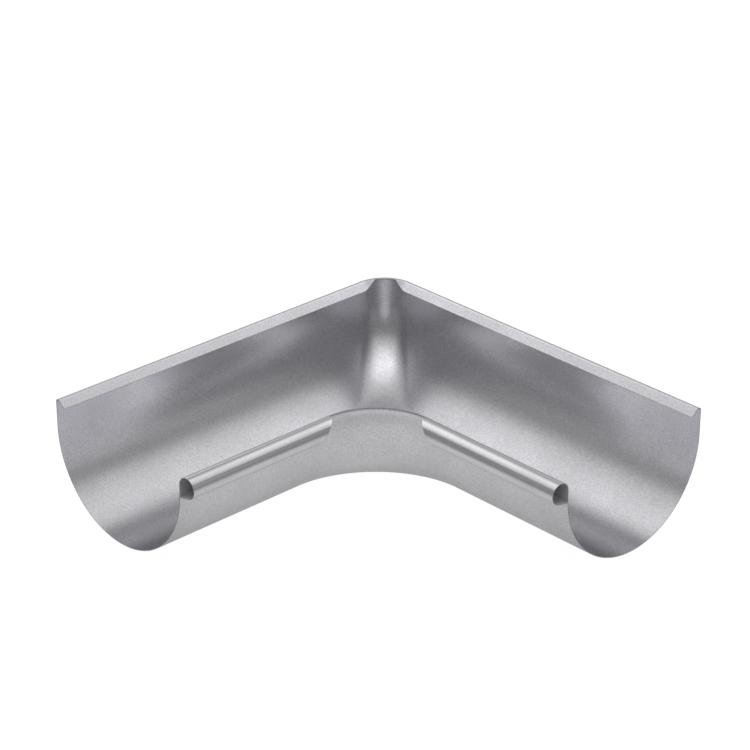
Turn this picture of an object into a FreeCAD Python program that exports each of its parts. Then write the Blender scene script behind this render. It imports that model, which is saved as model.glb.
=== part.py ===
"""Internal corner for a half-round roof gutter, pressed from one sheet of coated steel.

Millimetres, +Z up.  One trough arm runs along +X, the other along -Y.  Both rest on z = 0.
While it is built, x = 0, y = 0 is the crossing of the two trough centre lines; at the end
the part is moved so that the origin is the middle of its bounding box, on the floor.

In a section across an arm, "w" is the distance from the centre line, positive towards the
tall back wall, and "z" the height.  "Along" is the distance from the crossing.
"""
import FreeCAD
import Part
from math import cos, radians, sin, sqrt
import os

# Sheet and trough
sheet = 0.6                      # sheet thickness
outerWidth = 125.0               # nominal gutter size, over the outside of the trough
legLength = 295.0                # outside length of each leg, over the back wall

# Back rim: a bend and a flat lip that slopes down into the trough
backHeight = 82.7                # top of the back rim over the underside
rimRadius = 2.4                  # outside radius of the rim bend
rimTurn = 130.0                  # degrees the sheet turns in the bend
lipFlat = 6.3                    # width of the flat lip

# Front bead: the sheet rolled outwards and under
beadDiameter = 14.6              # outside diameter of the bead
beadHeight = 68.3                # centre of the bead over the underside
beadTurn = 280.0                 # degrees of roll along the arms
cornerTurn = 65.0                # degrees of roll left on the rim round the corner
beadRelief = 14.0                # how far the bead end is trimmed back from rim to underside
reliefStart, reliefEnd = 75.0, 235.0   # roll angles between which the trim runs

# Corner, seen from above
backRadius = 25.5                # plan radius of the back wall, outside face
frontPivot = 111.0               # along-position where the front wall starts to turn
creaseAngle = 60.0               # degrees down the back of the bowl kept at the back radius
floorAngle = 118.0               # degrees round the bowl where the front pivot takes over

# Lip trim at the back corner
trimRadius = 18.0                # plan radius where the lip's edge bends towards the wall
trimAngle = 15.5                 # degrees it bends before it runs straight across the turn
trimMargin = 0.1                 # how far off the lip's edge the trim starts
rimKept = 3.4                    # width of the curled rim that carries on round the corner

samples = 24                     # profile points per swept bowl strip

bowlRadius = outerWidth / 2
armLength = legLength - bowlRadius
backTurn = backRadius - bowlRadius
rollInner = beadDiameter / 2 - sheet
rollCentre = -bowlRadius - rollInner
bendCentre = (bowlRadius - rimRadius, backHeight - rimRadius)

up = FreeCAD.Vector(0, 0, 1)
mirrorNormal = FreeCAD.Vector(1, 1, 0)
origin = FreeCAD.Vector(0, 0, 0)


def arcPoint(centre, radius, angle):
    """Section point on a circle, the angle in degrees from the direction of the back wall."""
    return (centre[0] + radius * cos(radians(angle)), centre[1] + radius * sin(radians(angle)))


def armPoint(along, section):
    """Point of the arm along +X."""
    return FreeCAD.Vector(along, section[0], section[1])


def armLine(along, start, end):
    return Part.LineSegment(armPoint(along, start), armPoint(along, end)).toShape()


def armArc(along, centre, radius, start, end):
    """Circular edge across the arm between two section angles."""
    points = [armPoint(along, arcPoint(centre, radius, a)) for a in (start, (start + end) / 2, end)]
    return Part.Arc(*points).toShape()


def smoothStep(value):
    t = min(max(value, 0.0), 1.0)
    return t * t * (3 - 2 * t)


def turnStart(angle):
    """Along-position where the bowl starts to turn, angle measured down from the back wall.

    Near the back wall the outside keeps the back radius; further down the turn blends into
    the larger one about the front pivot, which makes the shallow saddle under the front rim.
    """
    nearBack = backRadius - bowlRadius * cos(radians(angle))
    share = smoothStep((angle - creaseAngle) / (floorAngle - creaseAngle))
    return nearBack + share * (frontPivot - nearBack)


def beadEnd(angle):
    """Along-position of the trimmed bead end at a roll angle."""
    return frontPivot + beadRelief * smoothStep((angle - reliefStart) / (reliefEnd - reliefStart))


def lipEnd(inset):
    """Section point at the free edge of the lip."""
    w, z = arcPoint(bendCentre, rimRadius - inset, rimTurn)
    return (w - lipFlat * sin(radians(rimTurn)), z + lipFlat * cos(radians(rimTurn)))


def skinEdges(along, inset):
    """Edges of one face of the sheet across an arm; inset 0 is the outside, sheet the inside."""
    bowl = (0.0, bowlRadius)
    bend = rimRadius - inset
    wall = bowlRadius - inset
    roll = rollInner + inset
    rollMiddle = (rollCentre, beadHeight)
    return {
        "lip": armLine(along, lipEnd(inset), arcPoint(bendCentre, bend, rimTurn)),
        "bend": armArc(along, bendCentre, bend, rimTurn, 0),
        "backWall": armLine(along, (wall, bendCentre[1]), (wall, bowlRadius)),
        "bowlBack": armArc(along, bowl, wall, 0, -creaseAngle),
        "bowlFloor": armArc(along, bowl, wall, -creaseAngle, -floorAngle),
        "bowlFront": armArc(along, bowl, wall, -floorAngle, -180),
        "frontWall": armLine(along, (-wall, bowlRadius), (-wall, beadHeight)),
        "rim": armArc(along, rollMiddle, roll, 0, cornerTurn),
        "bead": armArc(along, rollMiddle, roll, cornerTurn, beadTurn),
    }


def edgeEnds(name, end):
    """Short edge through the sheet at one end of the named profile edge."""
    outside, inside = [skinEdges(frontPivot, inset)[name] for inset in (0, sheet)]
    return Part.LineSegment(outside.Vertexes[end].Point, inside.Vertexes[end].Point).toShape()


def splineAlong(pointAt, start, end, count):
    """Curve through pointAt(angle), evenly parametrised so that matching curves share their knots."""
    step = 0.01
    points = [pointAt(start + (end - start) * i / count) for i in range(count + 1)]
    firstTangent = (pointAt(start + step) - points[0]) * ((end - start) / step)
    lastTangent = (points[-1] - pointAt(end - step)) * ((end - start) / step)
    curve = Part.BSplineCurve()
    curve.interpolate(Points=points, Parameters=[i / count for i in range(count + 1)],
                      InitialTangent=firstTangent, FinalTangent=lastTangent, Scale=False)
    return curve


def surfaceBetween(curves, weights, degree):
    """Surface whose control rows are the given matching curves."""
    poles = [[curve.getPole(i + 1) for curve in curves] for i in range(curves[0].NbPoles)]
    rowWeights = [list(weights) for row in poles]
    surface = Part.BSplineSurface()
    surface.buildFromPolesMultsKnots(
        poles, curves[0].getMultiplicities(), [degree + 1, degree + 1], curves[0].getKnots(), [0, 1],
        False, False, curves[0].Degree, degree, rowWeights)
    return surface.toShape()


def bowlStrip(inset, start, end):
    """Bowl between two angles round the corner: straight runs to the pivot and exact plan arcs."""
    def section(angle):
        return arcPoint((0.0, bowlRadius), bowlRadius - inset, -angle)

    def pivotRow(angle):
        return armPoint(frontPivot, section(angle))

    def turnRow(angle):
        return armPoint(turnStart(angle), section(angle))

    def kneeRow(angle):
        w, z = section(angle)
        return FreeCAD.Vector(-w, w, z)

    def turnFarRow(angle):
        w, z = section(angle)
        return FreeCAD.Vector(-w, -turnStart(angle), z)

    pivot, turn, knee, turnFar = [
        splineAlong(row, start, end, samples) for row in (pivotRow, turnRow, kneeRow, turnFarRow)]
    run = surfaceBetween([pivot, turn], [1, 1], 1)
    corner = surfaceBetween([turn, knee, turnFar], [1, sqrt(0.5), 1], 2)
    return [run, run.mirror(origin, mirrorNormal), corner]


def cornerTurned(edge, pivot):
    """Edge swept a quarter turn about the vertical axis of a corner radius."""
    return edge.revolve(FreeCAD.Vector(pivot, -pivot, 0), up, 90)


def shiftedTo(edge, along):
    moved = edge.copy()
    moved.translate(FreeCAD.Vector(along - frontPivot, 0, 0))
    return moved


def extrudedAlong(edge, length):
    return edge.extrude(FreeCAD.Vector(length, 0, 0))


def bothArms(faces):
    return faces + [face.mirror(origin, mirrorNormal) for face in faces]


def beadSurface(inset):
    """Face of the rolled bead from its trimmed end to the end of the arm, and the end curve."""
    def section(angle):
        return arcPoint((rollCentre, beadHeight), rollInner + inset, angle)

    def trimmedRow(angle):
        return armPoint(beadEnd(angle), section(angle))

    def squareRow(angle):
        return armPoint(armLength, section(angle))

    trimmed, square = [
        splineAlong(row, cornerTurn, beadTurn, 2 * samples) for row in (trimmedRow, squareRow)]
    return surfaceBetween([trimmed, square], [1, 1], 1), trimmed


def skinFaces(inset):
    """All faces of one side of the sheet."""
    edges = skinEdges(frontPivot, inset)
    outerRun = armLength - frontPivot
    innerRun = frontPivot - backTurn
    faces = bothArms([extrudedAlong(edges[name], outerRun) for name in edges if name != "bead"])
    for name in ("lip", "bend", "backWall"):
        start = shiftedTo(edges[name], backTurn)
        faces += bothArms([extrudedAlong(start, innerRun)])
        faces.append(cornerTurned(start, backTurn))
    for name in ("bowlFront", "frontWall", "rim"):
        faces.append(cornerTurned(edges[name], frontPivot))
    faces += bowlStrip(inset, 0, creaseAngle) + bowlStrip(inset, creaseAngle, floorAngle)
    return faces


def sheetEdges():
    """Faces through the thickness of the sheet."""
    outerRun = armLength - frontPivot
    lipEdge, rimEdge, beadEdge = edgeEnds("lip", 0), edgeEnds("rim", 1), edgeEnds("bead", 1)
    lipStart = shiftedTo(lipEdge, backTurn)
    beadRun = armLength - beadEnd(beadTurn)
    beadStart = shiftedTo(beadEdge, beadEnd(beadTurn))
    faces = bothArms([
        extrudedAlong(lipEdge, outerRun), extrudedAlong(lipStart, frontPivot - backTurn),
        extrudedAlong(beadStart, beadRun)])
    faces += [cornerTurned(lipStart, backTurn), cornerTurned(rimEdge, frontPivot)]
    return faces


def endCap():
    """Flat end of an arm, the shape of the whole section."""
    outside, inside = [list(skinEdges(armLength, inset).values()) for inset in (0, sheet)]
    shift = armLength - frontPivot
    closing = [edge.translated(FreeCAD.Vector(shift, 0, 0)) for edge in (edgeEnds("lip", 0), edgeEnds("bead", 1))]
    wire = Part.Wire(Part.__sortEdges__(outside + inside + closing))
    return Part.Face(wire)


def lipTrim():
    """Upright cutter that tapers the two lip ends and clears the lip from the corner.

    The lip's edge bends towards the wall just before the turn, then runs straight until it
    meets the circle of the rim that is kept.
    """
    startW = lipEnd(0)[0] - trimMargin
    start = backTurn + trimRadius * sin(radians(trimAngle))
    axis = FreeCAD.Vector(backTurn, -backTurn, 0)
    keep = backRadius - rimKept

    def onBend(turned):
        return FreeCAD.Vector(start - trimRadius * sin(radians(turned)),
                              startW + trimRadius * (1 - cos(radians(turned))), 0)

    bendEnd = onBend(trimAngle)
    heading = FreeCAD.Vector(-cos(radians(trimAngle)), sin(radians(trimAngle)), 0)
    across = (bendEnd - axis).dot(heading)
    clear = (bendEnd - axis).Length
    tip = bendEnd + heading * (sqrt(across ** 2 - clear ** 2 + keep ** 2) - across)
    apex = axis + FreeCAD.Vector(-1, 1, 0).normalize() * keep

    def mirrored(point):
        return FreeCAD.Vector(-point.y, -point.x, 0)

    inner = FreeCAD.Vector(start, -start, 0)
    side = [
        Part.Arc(onBend(0), onBend(trimAngle / 2), bendEnd).toShape(),
        Part.LineSegment(bendEnd, tip).toShape(),
        Part.LineSegment(inner, onBend(0)).toShape(),
    ]
    edges = side + [edge.mirror(origin, mirrorNormal) for edge in side]
    edges.append(Part.Arc(tip, apex, mirrored(tip)).toShape())
    plate = Part.Face(Part.Wire(Part.__sortEdges__(edges)))
    plate.translate(up * (bendCentre[1] - lipFlat))
    return plate.extrude(up * (3 * lipFlat))


def gutterCorner():
    faces = skinFaces(0) + skinFaces(sheet) + sheetEdges() + bothArms([endCap()])
    outerBead, outerCurve = beadSurface(0)
    innerBead, innerCurve = beadSurface(sheet)
    faces += bothArms([outerBead, innerBead, surfaceBetween([outerCurve, innerCurve], [1, 1], 1)])
    body = Part.makeCompound(faces)
    body.sewShape(0.002)
    solid = Part.makeSolid(Part.Shell(body.Faces))
    if solid.Volume < 0:
        solid.reverse()
    solid = solid.cut(lipTrim()).removeSplitter()
    solid = max(solid.Solids, key=lambda s: s.Volume)
    middle = (armLength - bowlRadius) / 2
    solid.translate(FreeCAD.Vector(-middle, middle, 0))
    return solid


os.makedirs("parts", exist_ok=True)
part = gutterCorner()
part.exportStep("parts/gutter_corner.step")
box = part.optimalBoundingBox()
print("valid", part.isValid(), "closed", part.isClosed(), "solids", len(part.Solids), "faces", len(part.Faces))
print("size", round(box.XLength, 2), round(box.YLength, 2), round(box.ZLength, 2), "volume", round(part.Volume))
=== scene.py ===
import bmesh
import bpy
import numpy as np
from mathutils import Matrix, Vector


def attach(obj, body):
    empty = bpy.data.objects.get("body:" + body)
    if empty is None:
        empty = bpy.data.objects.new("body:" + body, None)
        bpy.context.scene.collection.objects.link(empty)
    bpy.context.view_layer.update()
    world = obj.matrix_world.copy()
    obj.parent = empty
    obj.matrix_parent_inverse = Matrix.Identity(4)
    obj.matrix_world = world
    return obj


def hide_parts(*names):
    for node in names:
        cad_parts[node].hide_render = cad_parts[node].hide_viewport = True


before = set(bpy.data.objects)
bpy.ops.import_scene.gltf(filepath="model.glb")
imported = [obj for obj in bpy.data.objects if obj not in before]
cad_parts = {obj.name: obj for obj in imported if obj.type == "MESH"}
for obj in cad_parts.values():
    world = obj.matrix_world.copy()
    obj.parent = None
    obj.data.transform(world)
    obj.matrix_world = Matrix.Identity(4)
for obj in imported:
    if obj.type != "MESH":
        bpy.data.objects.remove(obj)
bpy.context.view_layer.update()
print("frame loaded:", sorted(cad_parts))

scene = bpy.context.scene
mm = 0.001

# the view of the photograph
cameraView = {
    "target": (-0.10740, 0.09911, 0.030),   # metres
    "azimuth": 46.651,                      # degrees round the object
    "elevation": 26.390,                    # degrees above the floor
    "roll": 0.029,                          # degrees
    "distance": 1.87505,                    # metres
    "focal": 2662.8,                        # pixels of the photograph
    "frame": 750,                           # pixels across the photograph
    "sensor": 36.0,                         # millimetres
    "clip": (0.05, 50.0),                   # metres
}


def addCamera(view):
    # back is the sine and minus the cosine of the azimuth, times the cosine of the elevation, with
    # its sine upwards; right lies level; the roll turns right and above about back; and the lens
    # is the focal length in frames times the sensor
    turn, rise, roll = np.radians([view["azimuth"], view["elevation"], view["roll"]])
    back = Vector((np.sin(turn) * np.cos(rise), -np.cos(turn) * np.cos(rise), np.sin(rise)))
    right = Vector((np.cos(turn), np.sin(turn), 0))
    above = back.cross(right)
    rolledRight = right * np.cos(roll) + above * np.sin(roll)
    rolledUp = above * np.cos(roll) - right * np.sin(roll)
    data = bpy.data.cameras.new("photoCamera")
    data.sensor_width = view["sensor"]
    data.lens = view["focal"] / view["frame"] * view["sensor"]
    data.clip_start, data.clip_end = view["clip"]
    camera = bpy.data.objects.new("photoCamera", data)
    turned = Matrix((rolledRight, rolledUp, back)).transposed().to_4x4()
    camera.matrix_world = Matrix.Translation(Vector(view["target"]) + back * view["distance"]) @ turned
    scene.collection.objects.link(camera)
    scene.camera = camera


addCamera(cameraView)
print("camera placed")

# sizes of the sheet in millimetres; w is the distance from a trough's centre line towards the
# tall back wall, z the height, and the two centre lines cross at crossing
sheet = {
    "thickness": 0.6,
    "width": 125.0,             # over the outside of the trough
    "leg": 295.0,               # each leg, over the back wall
    "backHeight": 82.7,
    "rimRadius": 2.4,
    "rimTurn": 130.0,
    "lipFlat": 6.3,
    "beadDiameter": 14.6,
    "beadHeight": 68.3,
    "beadTurn": 257.0,          # round part of the roll, after which the sheet runs on straight
    "tailGap": 0.2,             # left between the straight tail and the trough's wall
    "shelter": (59.4, 60.4),    # heights between which the wall goes in under the roll
    "cornerTurn": 65.0,         # roll left on the rim round the corner
    "beadRelief": 14.0,
    "relief": (75.0, 235.0),    # roll angles between which the bead end is trimmed back
    "backRadius": 25.5,
    "frontPivot": 111.0,
    "blend": (60.0, 118.0),     # angles down the bowl between which the two corner radii blend
    "trimRadius": 18.0,
    "trimAngle": 15.5,          # degrees that the lip's edge bends before it runs across the turn
    "trimMargin": 0.1,
    "rimKept": 3.4,
    "crossing": (-85.0, 85.0),
    "drawnReach": 45.0,         # how far along the arms the stretched sheet of the corner shows
    "crownWear": 6,             # power that keeps the wear of a bend near its crown
    "edgeRounding": 0.1,
    "edgeAngle": 60.0,          # degrees from which an edge is rounded
    "edgeSteps": 2,
    # points of the grid
    "lipRows": 30, "wallRows": 6, "bowlRows": 72, "frontRows": 3, "rimRows": 9, "beadRows": 30,
    "tailRows": 4,
    "cornerStations": 200, "armStations": 26,
    "crowding": 0.6,            # how much closer together the corner's stations stand at its middle
}

bowlRadius = sheet["width"] / 2
armLength = sheet["leg"] - bowlRadius
backTurn = sheet["backRadius"] - bowlRadius
rollInner = sheet["beadDiameter"] / 2 - sheet["thickness"]
rollCentre = (-bowlRadius - rollInner, sheet["beadHeight"])
bendCentre = (bowlRadius - sheet["rimRadius"], sheet["backHeight"] - sheet["rimRadius"])


def smoothStep(value, start, end):
    # 0 before start, 1 after end, and 3 t squared less 2 t cubed between
    t = np.clip((value - start) / (end - start), 0, 1)
    return t * t * (3 - 2 * t)


def circlePoints(centre, radius, angles):
    # centre plus radius times cosine and sine of each angle, in degrees from the back wall's side
    a = np.radians(angles)
    return centre[0] + radius * np.cos(a), centre[1] + radius * np.sin(a)


def rubbedShare(bendAngle):
    # how worn a bend is, a power of the cosine of the angle off its crown, at 90 degrees
    return np.clip(np.cos(np.radians(bendAngle - 90)), 0, 1) ** sheet["crownWear"]


def drawnShare(along):
    # how much the press stretched the sheet, 1 in the turn, and falling along the arms
    return 1 - smoothStep(along, 0, sheet["drawnReach"])


def turnPivot(angles):
    # along-position where the bowl starts to turn: the back radius less the bowl's own width there,
    # blended into the front pivot between the two blend angles
    nearBack = sheet["backRadius"] - bowlRadius * np.cos(np.radians(angles))
    share = smoothStep(angles, *sheet["blend"])
    return nearBack + share * (sheet["frontPivot"] - nearBack)


def lipBoundary(before, turned):
    # plan distance from the back corner's axis to where the lip is trimmed: along an arm the trim
    # rises off the lip's edge on a circle, radius less the root of radius squared less t squared;
    # over the turn it is a line, its distance over the cosine of its own and the ray's angle; and
    # it never comes nearer the wall than the rim that is kept
    trimAngle, rimTurn = np.radians([sheet["trimAngle"], sheet["rimTurn"]])
    lipEdge = bendCentre[0] + sheet["rimRadius"] * np.cos(rimTurn) - sheet["lipFlat"] * np.sin(rimTurn)
    start = lipEdge - sheet["trimMargin"] + backTurn
    radius = sheet["trimRadius"]
    t = np.clip(radius * np.sin(trimAngle) - before, 0, None)
    onArm = start + radius - np.sqrt(radius ** 2 - t ** 2)
    fold = np.minimum(turned, np.pi / 2 - turned)
    lineAt = (start + radius * (1 - np.cos(trimAngle))) * np.cos(trimAngle)
    overTurn = np.minimum(lineAt / np.cos(trimAngle + fold), sheet["backRadius"] - sheet["rimKept"])
    return np.where(turned > 0, overTurn, onArm)


def lipRows(inset, before, turned):
    # from the trimmed edge to the top of the back wall, along the flat lip, then round the bend:
    # the way s along the section over the bend's radius is the angle, and what is left of s past
    # the full turn runs straight on
    bend = sheet["rimRadius"] - inset
    fullTurn = np.radians(sheet["rimTurn"])
    boundW = lipBoundary(before, turned) - backTurn
    bendW = bendCentre[0] + bend * np.cos(fullTurn)
    onBend = bend * np.arccos(np.clip((boundW - bendCentre[0]) / bend, np.cos(fullTurn), 1))
    onFlat = bend * fullTurn + np.clip((bendW - boundW) / np.sin(fullTurn), 0, sheet["lipFlat"])
    reach = np.where(boundW >= bendW, onBend, onFlat)
    s = reach[None, :] * np.linspace(1, 0, sheet["lipRows"])[:, None]
    angle = np.minimum(s / bend, fullTurn)
    flat = np.maximum(s - bend * fullTurn, 0)
    w = bendCentre[0] + bend * np.cos(angle) - flat * np.sin(fullTurn)
    z = bendCentre[1] + bend * np.sin(angle) + flat * np.cos(fullTurn)
    return w, z, np.where(flat > 0, 0, rubbedShare(np.degrees(angle))), 0 * w


def wallRows(inset):
    # back wall, half circle, front wall and the start of the roll, with each row's bowl angle, how
    # rubbed it is, and whether it lies inside the roll: on the outer face of the front half that is
    # a smooth step of its height over the shelter's two heights
    wall = bowlRadius - inset
    down = np.linspace(bendCentre[1], bowlRadius, sheet["wallRows"] + 1)[1:]
    bowl = np.linspace(0, 180, sheet["bowlRows"] + 1)[1:]
    front = np.linspace(bowlRadius, sheet["beadHeight"], sheet["frontRows"] + 1)[1:]
    rim = np.linspace(0, sheet["cornerTurn"], sheet["rimRows"] + 1)[1:]
    bowlW, bowlZ = circlePoints((0, bowlRadius), wall, -bowl)
    rimW, rimZ = circlePoints(rollCentre, rollInner + inset, rim)
    w = np.concatenate([0 * down + wall, bowlW, 0 * front - wall, rimW])
    z = np.concatenate([down, bowlZ, front, rimZ])
    angle = np.concatenate([0 * down, bowl, 0 * front + 180, 0 * rim + 180])
    rubbed = np.concatenate([0 * down, 0 * bowl, 0 * front, smoothStep(rim, 0, sheet["cornerTurn"])])
    inside = smoothStep(z, *sheet["shelter"]) * (angle > 90) * (inset == 0)
    return w, z, angle, rubbed, inside


def armShares():
    # even shares of a straight run, from its start to its end
    return np.linspace(0, 1, sheet["armStations"] + 1)


def placed(w, z, marks, pivot, before, turned, after):
    # a quarter turn about the pivot's upright axis, with straight runs before and after it: from
    # crossing, x is the pivot plus the run before less reach times the sine of the turn, and y is
    # reach times its cosine less the pivot and the run after; each point keeps its marks, how
    # rubbed, stretched and shut in the sheet is there
    reach = w + pivot
    x = pivot + before - reach * np.sin(turned) + sheet["crossing"][0]
    y = -pivot - after + reach * np.cos(turned) + sheet["crossing"][1]
    return np.stack(np.broadcast_arrays(x, y, z, *marks), -1)


def troughGrid(inset):
    # rows run from lip to front rim, stations from the end of one arm round to the other; along
    # a row the stations between the front pivots share out its straight runs and its turn, evenly
    # plus the crowding times a sine, which brings them closer together at the corner
    w, z, angle, rubbed, inside = wallRows(inset)
    angle = np.concatenate([np.zeros(sheet["lipRows"]), angle])
    pivot = turnPivot(angle)[:, None]
    run = sheet["frontPivot"] - pivot
    radius = bowlRadius * np.cos(np.radians(angle))[:, None] + pivot
    arc = radius * np.pi / 2
    q = np.linspace(0, 1, sheet["cornerStations"] + 1)
    share = q + sheet["crowding"] * np.sin(2 * np.pi * q) / (2 * np.pi)
    s = share[None, :] * (2 * run + arc)
    before = np.maximum(run - s, 0)
    turned = np.clip((s - run) / arc, 0, 1) * np.pi / 2
    after = np.maximum(s - run - arc, 0)
    # the plain ends of the arms
    outer = armShares()[1:] * (armLength - sheet["frontPivot"])
    ends = run + outer[None, :]
    none = 0 * ends
    before = np.concatenate([ends[:, ::-1], before, none], 1)
    turned = np.concatenate([none, turned, none + np.pi / 2], 1)
    after = np.concatenate([none, after, ends], 1)
    nearest = np.maximum(before[0], after[0])
    lip = lipRows(inset, nearest, turned[0] * (nearest == 0))
    columns = np.ones(before.shape[1])
    w, z, rubbed, inside = [np.concatenate([a, b[:, None] * columns]) for a, b in
                            zip(lip, (w, z, rubbed, inside))]
    far = np.maximum(before, after)
    marks = rubbed, drawnShare(far), inside * smoothStep(far, 0, sheet["beadRelief"])
    return placed(w, z, marks, pivot, before, turned, after)


def beadGrid(inset, arm):
    # rows go on round the roll from the corner's rim and then straight on to the wall, stations
    # from the trimmed end to the arm's end; the trim runs back by a smooth step of the roll's angle
    turn = np.radians(sheet["beadTurn"])
    reach = -bowlRadius - sheet["tailGap"] - rollCentre[0] - rollInner * np.cos(turn)
    tail = np.linspace(0, reach / -np.sin(turn), sheet["tailRows"] + 1)[1:]
    roll = np.linspace(sheet["cornerTurn"], sheet["beadTurn"], sheet["beadRows"] + 1)
    w, z = circlePoints(rollCentre, rollInner + inset, roll)
    w = np.concatenate([w, w[-1] - np.sin(turn) * tail])[:, None]
    z = np.concatenate([z, z[-1] + np.cos(turn) * tail])[:, None]
    roll = np.concatenate([roll, roll[-1] + 0 * tail])[:, None]
    start = sheet["frontPivot"] + sheet["beadRelief"] * smoothStep(roll, *sheet["relief"])
    along = start + armShares()[None, :] * (armLength - start)
    if arm == 0:
        along = along[:, ::-1]
    marks = 1 + 0 * roll, drawnShare(along - sheet["frontPivot"]), 1.0 * (inset == 0)
    if arm == 0:
        return placed(w, z, marks, 0.0, along, 0.0, 0.0)
    return placed(w, z, marks, 0.0, 0.0, np.pi / 2, along)


def gridFaces(rows, columns, first):
    # quads of a grid whose points are numbered along its rows from first: a point, the next one,
    # and the two a row further
    corner = first + np.arange(rows - 1)[:, None] * columns + np.arange(columns - 1)[None, :]
    corner = corner.ravel()
    return np.stack([corner, corner + 1, corner + columns + 1, corner + columns], 1)


def sheetMesh(name):
    # both faces of the sheet on one set of grids, joined through the thickness at every free edge
    def grids(inset):
        return [troughGrid(inset), beadGrid(inset, 0), beadGrid(inset, 1)]

    outerGrids, innerGrids = grids(0.0), grids(sheet["thickness"])
    faces, first = [], 0
    for grid in outerGrids:
        faces.append(gridFaces(grid.shape[0], grid.shape[1], first))
        first += grid.shape[0] * grid.shape[1]
    faces = np.concatenate(faces)
    outer = np.concatenate([g.reshape(-1, 6) for g in outerGrids])
    inner = np.concatenate([g.reshape(-1, 6) for g in innerGrids])

    # points that grids share, to a ten-thousandth of a millimetre, become one
    places = np.round(outer[:, :3], 4)
    _, keep, where = np.unique(places, axis=0, return_index=True, return_inverse=True)
    outer, inner, faces = outer[keep], inner[keep], where.ravel()[faces]

    # free edges are the ones that no second face runs along the other way
    count = len(outer)
    edges = np.stack([faces, np.roll(faces, -1, 1)], -1).reshape(-1, 2)
    code, reverse = edges[:, 0] * count + edges[:, 1], edges[:, 1] * count + edges[:, 0]
    free = edges[~np.isin(code, reverse)]
    walls = np.stack([free[:, 1], free[:, 0], free[:, 0] + count, free[:, 1] + count], 1)
    finish = np.repeat([0, 1], [2 * len(faces), len(walls)])    # coated face or sheared edge
    faces = np.concatenate([faces, faces[:, ::-1] + count, walls])
    points = np.concatenate([outer, inner])

    mesh = bpy.data.meshes.new(name)
    mesh.from_pydata((points[:, :3] * mm).tolist(), [], faces.tolist())
    mesh.polygons.foreach_set("material_index", finish)
    for column, mark in ((3, "rubbed"), (4, "drawn"), (5, "shutIn")):
        mesh.attributes.new(mark, "FLOAT", "POINT").data.foreach_set("value", points[:, column])
    shape = bmesh.new()
    shape.from_mesh(mesh)
    bmesh.ops.recalc_face_normals(shape, faces=shape.faces)
    shape.to_mesh(mesh)
    loose = sum(1 for e in shape.edges if len(e.link_faces) != 2)
    print("sheet:", len(mesh.vertices), "points", len(mesh.polygons), "faces", loose, "open edges",
          "volume", round(shape.calc_volume() * 1e9))
    shape.free()
    mesh.polygons.foreach_set("use_smooth", np.ones(len(mesh.polygons), bool))
    piece = bpy.data.objects.new(name, mesh)
    scene.collection.objects.link(piece)
    return piece


formedSheet = sheetMesh("formed_sheet")
rounding = formedSheet.modifiers.new("edgeRounding", "BEVEL")
rounding.width = sheet["edgeRounding"] * mm
rounding.segments = sheet["edgeSteps"]
rounding.limit_method = "ANGLE"
rounding.angle_limit = np.radians(sheet["edgeAngle"])
rounding.harden_normals = True
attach(formedSheet, "root")
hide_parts("gutter_corner")
print("sheet built")


def linearColour(hexValue):
    # sRGB hex to linear: under 0.04045 divided by 12.92, else the 2.4 power of (v + 0.055) / 1.055
    value = np.array([int(hexValue[i:i + 2], 16) / 255 for i in (1, 3, 5)])
    linear = np.where(value <= 0.04045, value / 12.92, ((value + 0.055) / 1.055) ** 2.4)
    return (*linear, 1.0)


def addNode(tree, kind, settings=None, links=None):
    # a node with its settings by name, input values by socket, and links from other nodes' sockets
    node = tree.nodes.new("ShaderNode" + kind)
    for key, value in (settings or {}).items():
        if isinstance(key, str) and hasattr(node, key):
            setattr(node, key, value)
        else:
            node.inputs[key].default_value = value
    for key, source in (links or {}).items():
        tree.links.new(source, node.inputs[key])
    return node


# zinc alloy coating straight from the dip and lightly rolled: a soft grey mirror that blurs what it
# reflects, with a very fine grain that sparkles a little where the light is strong
coatedSteel = {
    "colour": "#f4f4f8",
    "dull": "#d0d0d4",          # duller grains and cloudier patches of the coating
    "cloudShare": 0.3,          # of that change of colour, and the grain makes the rest
    "edgeTint": "#dadada",      # holds the mirror back at a glancing angle
    "roughness": (0.26, 0.33),
    "cloudSize": 38.0,          # millimetres
    "grainSize": 1.3,           # drawn coarser than the real 0.3 mm, which would not show
    "grainHeight": 0.004,
    "drawnGrain": 1.9,          # how much higher the grain stands where the press stretched it
    "waveSize": 9.0,            # slow hollows that the tool leaves in the drawn corner
    "waveHeight": 0.012,
    "rubbedRoughness": -0.06,   # bends and rolls are burnished by the tools that formed them
    "rubbedGrain": 0.3,         # and that presses most of the grain flat
    "shutInGrey": "#d8d8dc",          # a grey with little metal in it, on the sheet shut inside the rolls
    "shutInGreyMetallic": 0.15,
}

# bare steel of the sheet where it was sheared: matt, and torn a little across its thickness
shearedSteel = {
    "colour": "#cfcfd3",
    "dark": "#b0b0b4",
    "roughness": 0.55,
    "burrSize": 0.5,            # millimetres
    "burrHeight": 0.02,
}

# noise that both finishes use
noise = {
    "fineness": 0.55,           # how strong each finer layer is against the one before
    "usual": (0.3, 0.7),        # its values mostly lie between these
    "cloudDetail": 4.0, "grainDetail": 2.0, "waveDetail": 1.0, "burrDetail": 3.0,   # finer layers
}


def newMaterial(name):
    # a material with an empty tree, and the tree
    material = bpy.data.materials.new(name)
    material.use_nodes = True
    material.node_tree.nodes.clear()
    return material, material.node_tree


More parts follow.
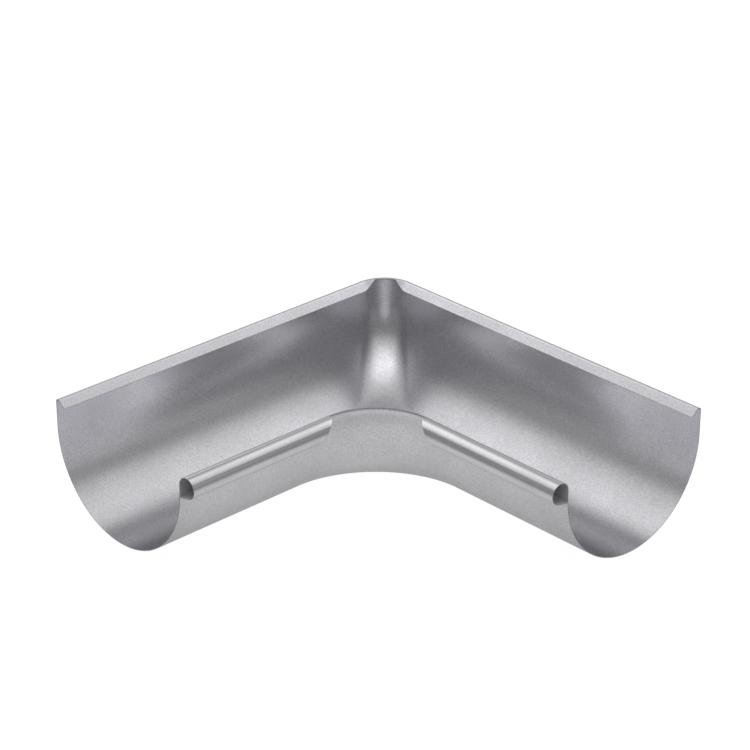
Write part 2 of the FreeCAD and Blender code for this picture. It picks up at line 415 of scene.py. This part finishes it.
def coatedSteelMaterial(values):
    # a noise's size is one over its scale; the dull share is the cloud plus the grain times what the
    # rubbing left of it; roughness is the cloud's value plus the rubbed part; and height is grain,
    # raised where the sheet is drawn, plus waves that only the drawn sheet has, times what is left
    material, tree = newMaterial("hotDipCoatedSteel")
    way = addNode(tree, "TexCoord").outputs["Object"]
    drawn, rubbed, shutIn = [addNode(tree, "Attribute", {"attribute_name": name}).outputs["Fac"]
                             for name in ("drawn", "rubbed", "shutIn")]
    cloud, grain, wave = [
        addNode(tree, "TexNoise", {
            "Scale": 1 / (values[name + "Size"] * mm), "Detail": noise[name + "Detail"],
            "Roughness": noise["fineness"]}, {"Vector": way}).outputs["Fac"]
        for name in ("cloud", "grain", "wave")]

    # straight lines from 1 where there is none of a mark to a value where there is all of it
    left, raised, metallic = [
        addNode(tree, "MapRange", {"To Min": 1.0, "To Max": values[name]}, {"Value": share}).outputs["Result"]
        for name, share in (("rubbedGrain", rubbed), ("drawnGrain", drawn), ("shutInGreyMetallic", shutIn))]
    # the usual values of a noise stretched to a low and a high one
    cloudPart, grainPart, cloudRoughness = [
        addNode(tree, "MapRange", {
            "From Min": noise["usual"][0], "From Max": noise["usual"][1], "To Min": low, "To Max": high},
            {"Value": value}).outputs["Result"]
        for value, low, high in ((cloud, 0.0, values["cloudShare"]), (grain, 0.0, 1 - values["cloudShare"]),
                                 (cloud, *values["roughness"]))]

    dulled = addNode(tree, "Math", {"operation": "MULTIPLY_ADD"}, {0: grainPart, 1: left, 2: cloudPart})
    coating = addNode(tree, "Mix", {
        "data_type": "RGBA", 6: linearColour(values["colour"]), 7: linearColour(values["dull"])},
        {0: dulled.outputs[0]})
    colour = addNode(tree, "Mix", {"data_type": "RGBA", 7: linearColour(values["shutInGrey"])},
                     {0: shutIn, 6: coating.outputs[2]})
    roughness = addNode(tree, "Math", {"operation": "MULTIPLY_ADD", 1: values["rubbedRoughness"]},
                        {0: rubbed, 2: cloudRoughness})
    grainRise = addNode(tree, "Math", {"operation": "MULTIPLY"}, {0: grain, 1: raised})
    waveRise = addNode(tree, "Math", {"operation": "MULTIPLY"}, {0: wave, 1: drawn})
    waves = addNode(tree, "Math", {"operation": "MULTIPLY", 1: values["waveHeight"]},
                    {0: waveRise.outputs[0]})
    height = addNode(tree, "Math", {"operation": "MULTIPLY_ADD", 1: values["grainHeight"]},
                     {0: grainRise.outputs[0], 2: waves.outputs[0]})
    worn = addNode(tree, "Math", {"operation": "MULTIPLY"}, {0: height.outputs[0], 1: left})
    bump = addNode(tree, "Bump", {"Strength": 1.0, "Distance": mm}, {"Height": worn.outputs[0]})
    shader = addNode(tree, "BsdfPrincipled", {"Specular Tint": linearColour(values["edgeTint"])}, {
        "Base Color": colour.outputs[2], "Metallic": metallic, "Roughness": roughness.outputs[0],
        "Normal": bump.outputs["Normal"]})
    addNode(tree, "OutputMaterial", {}, {"Surface": shader.outputs["BSDF"]})
    return material


def shearedSteelMaterial(values):
    # the burr's noise times its height is the relief, and stretched it is the share of the dark colour
    material, tree = newMaterial("shearedSteelEdge")
    way = addNode(tree, "TexCoord").outputs["Object"]
    burr = addNode(tree, "TexNoise", {
        "Scale": 1 / (values["burrSize"] * mm), "Detail": noise["burrDetail"],
        "Roughness": noise["fineness"]}, {"Vector": way}).outputs["Fac"]
    darkness = addNode(tree, "MapRange", {
        "From Min": noise["usual"][0], "From Max": noise["usual"][1]}, {"Value": burr})
    colour = addNode(tree, "Mix", {
        "data_type": "RGBA", 6: linearColour(values["colour"]), 7: linearColour(values["dark"])},
        {0: darkness.outputs["Result"]})
    height = addNode(tree, "Math", {"operation": "MULTIPLY", 1: values["burrHeight"]}, {0: burr})
    bump = addNode(tree, "Bump", {"Strength": 1.0, "Distance": mm}, {"Height": height.outputs[0]})
    shader = addNode(tree, "BsdfPrincipled", {"Metallic": 1.0, "Roughness": values["roughness"]},
                     {"Base Color": colour.outputs[2], "Normal": bump.outputs["Normal"]})
    addNode(tree, "OutputMaterial", {}, {"Surface": shader.outputs["BSDF"]})
    return material


for finish in (coatedSteelMaterial(coatedSteel), shearedSteelMaterial(shearedSteel)):
    formedSheet.data.materials.append(finish)
print("coated and sheared steel made")

# the studio: a grey sky with soft round panels of light on it, which mirror each other in the
# upright plane through the part's corner, and a white floor
studio = {
    "floorSize": 8.0,           # metres
    "floorColour": "#525252",
    "floorGlow": (0.55, 0.24),  # light that the floor gives by itself, in a pool round the part
    "pool": (0.15, 0.30),       # and beyond it, metres from the pool's middle
    "poolMiddle": (-0.05, 0.05, 0.0),
    "floorWhite": 0.97,         # what it gives towards the camera, so that the floor itself is white
    "skyLevel": 0.20,
    "plane": 45.0,              # degrees round the object of the plane that the sky mirrors in
    # degrees round from that plane, degrees up, radius, soft edge, strength
    "panels": [(0, 72, 22, 16, 0.62), (16, 56, 22, 12, 0.30), (38, 42, 10, 14, 0.26),
               (139, 20, 32, 24, 0.86), (70, 18, 8, 12, 0.45), (109, 62, 30, 20, 0.38)],
}


def addFloor(values):
    # glow falls in a straight line from its first value to its second between the pool's two
    # distances, and the camera alone sees the white instead
    half = values["floorSize"] / 2
    mesh = bpy.data.meshes.new("floor")
    corners = [(-half, -half, 0), (half, -half, 0), (half, half, 0), (-half, half, 0)]
    mesh.from_pydata(corners, [], [(0, 1, 2, 3)])
    floor = bpy.data.objects.new("floor", mesh)
    scene.collection.objects.link(floor)
    material, tree = newMaterial("paleFloor")
    seen = addNode(tree, "LightPath").outputs["Is Camera Ray"]
    place = addNode(tree, "TexCoord").outputs["Object"]
    away = addNode(tree, "VectorMath", {
        "operation": "DISTANCE", 1: values["poolMiddle"]}, {0: place})
    pool = addNode(tree, "MapRange", {
        "From Min": values["pool"][0], "From Max": values["pool"][1],
        "To Min": values["floorGlow"][0], "To Max": values["floorGlow"][1]},
        {"Value": away.outputs["Value"]})
    glow = addNode(tree, "Mix", {3: values["floorWhite"]}, {0: seen, 2: pool.outputs["Result"]})
    shader = addNode(tree, "BsdfPrincipled", {
        "Base Color": linearColour(values["floorColour"]), "Roughness": 1.0, "Specular IOR Level": 0.0,
        "Emission Color": (1, 1, 1, 1)}, {"Emission Strength": glow.outputs[0]})
    addNode(tree, "OutputMaterial", {}, {"Surface": shader.outputs["BSDF"]})
    mesh.materials.append(material)


def addSky(values):
    # level of the sky plus, for each panel, its strength times a smooth step of the angle off the
    # panel's middle; the direction is turned into the plane and folded over it first
    world = bpy.data.worlds.new("studio")
    world.use_nodes = True
    tree = world.node_tree
    tree.nodes.clear()
    way = addNode(tree, "TexCoord").outputs["Generated"]
    turned = addNode(tree, "VectorRotate", {
        "rotation_type": "Z_AXIS", "Angle": -np.radians(values["plane"])}, {"Vector": way})
    part = addNode(tree, "SeparateXYZ", {}, {0: turned.outputs[0]}).outputs
    side = addNode(tree, "Math", {"operation": "ABSOLUTE"}, {0: part[0]}).outputs[0]
    folded = addNode(tree, "CombineXYZ", {}, {0: side, 1: part[1], 2: part[2]}).outputs[0]
    level = addNode(tree, "Value")
    level.outputs[0].default_value = values["skyLevel"]
    total = level.outputs[0]
    for turn, rise, radius, edge, strength in values["panels"]:
        a, e = np.radians([turn, rise])
        middle = (np.sin(a) * np.cos(e), -np.cos(a) * np.cos(e), np.sin(e))
        cosine = addNode(tree, "VectorMath", {"operation": "DOT_PRODUCT", 1: middle}, {0: folded})
        angle = addNode(tree, "Math", {"operation": "ARCCOSINE"}, {0: cosine.outputs["Value"]})
        panel = addNode(tree, "MapRange", {
            "interpolation_type": "SMOOTHSTEP", "From Min": np.radians(radius - edge / 2),
            "From Max": np.radians(radius + edge / 2), "To Min": strength, "To Max": 0.0},
            {"Value": angle.outputs[0]})
        total = addNode(tree, "Math", {}, {0: total, 1: panel.outputs["Result"]}).outputs[0]
    background = addNode(tree, "Background", {"Color": (1, 1, 1, 1)}, {"Strength": total})
    addNode(tree, "OutputWorld", {}, {"Surface": background.outputs["Background"]})
    scene.world = world


addFloor(studio)
addSky(studio)
scene.view_settings.view_transform = "Standard"
print("studio lit")
